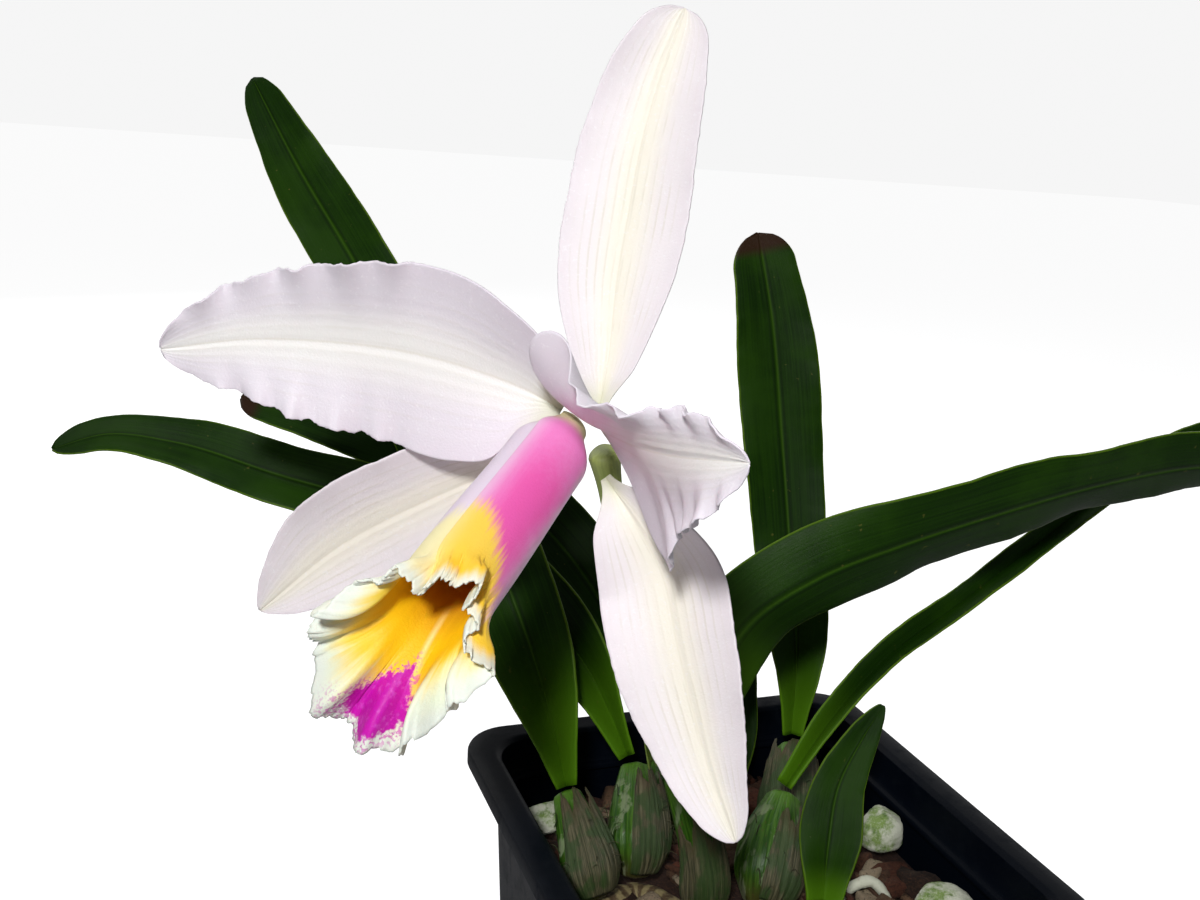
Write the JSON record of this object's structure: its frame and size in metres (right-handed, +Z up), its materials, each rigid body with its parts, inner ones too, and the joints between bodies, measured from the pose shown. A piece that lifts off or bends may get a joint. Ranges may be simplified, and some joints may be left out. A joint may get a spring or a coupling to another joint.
{
  "type": "potted cattleya orchid",
  "caption": "Cattleya orchid in a square black nursery pot: one open flower with a frilled lip over strap leaves, bulbs, bark and stones.",
  "frame": {"origin": "centre of the pot's flat underside", "axes": "+Z up from the underside; the pot's walls run along X and Y; the flower looks towards -X and -Y"},
  "size_m": [0.3304, 0.213, 0.2963],
  "materials": {
    "pot_plastic": "matte",
    "bark": "rough",
    "stone_pale": "rough",
    "rhizome_brown": "matte",
    "root_white": "matte",
    "bulb_green": "satin",
    "sheath_paper": "matte",
    "leaf_green": "satin",
    "stalk_green": "satin",
    "column_white": "satin",
    "tepal_white": "matte",
    "lip_bloom": "matte"
  },
  "bodies": {
    "root": {"pot": "pot_plastic", "bark_bed": "bark", "rhizome": "rhizome_brown", "rhizome_side_shoot": "rhizome_brown", "stone_1": "stone_pale", "stone_2": "stone_pale", "stone_3": "stone_pale", "stone_4": "stone_pale", "stone_5": "stone_pale", "root_1": "root_white", "root_2": "root_white", "root_3": "root_white", "pseudobulb_1": "bulb_green", "pseudobulb_2": "bulb_green", "pseudobulb_3": "bulb_green", "pseudobulb_4": "bulb_green", "pseudobulb_5": "bulb_green", "pseudobulb_6": "bulb_green", "sheath_1": "sheath_paper", "sheath_2": "sheath_paper", "sheath_3": "sheath_paper", "sheath_4": "sheath_paper", "sheath_5": "sheath_paper", "leaf_1": "leaf_green", "leaf_2": "leaf_green", "leaf_3": "leaf_green", "leaf_4": "leaf_green", "leaf_5": "leaf_green", "leaf_6": "leaf_green", "leaf_7": "leaf_green", "leaf_8": "leaf_green", "flower_stalk": "stalk_green", "flower_sheath": "stalk_green", "column": "column_white", "sepal_dorsal": "tepal_white", "sepal_left": "tepal_white", "sepal_right": "tepal_white", "petal_left": "tepal_white", "petal_right": "tepal_white", "lip": "lip_bloom"}
  },
  "joints": []
}
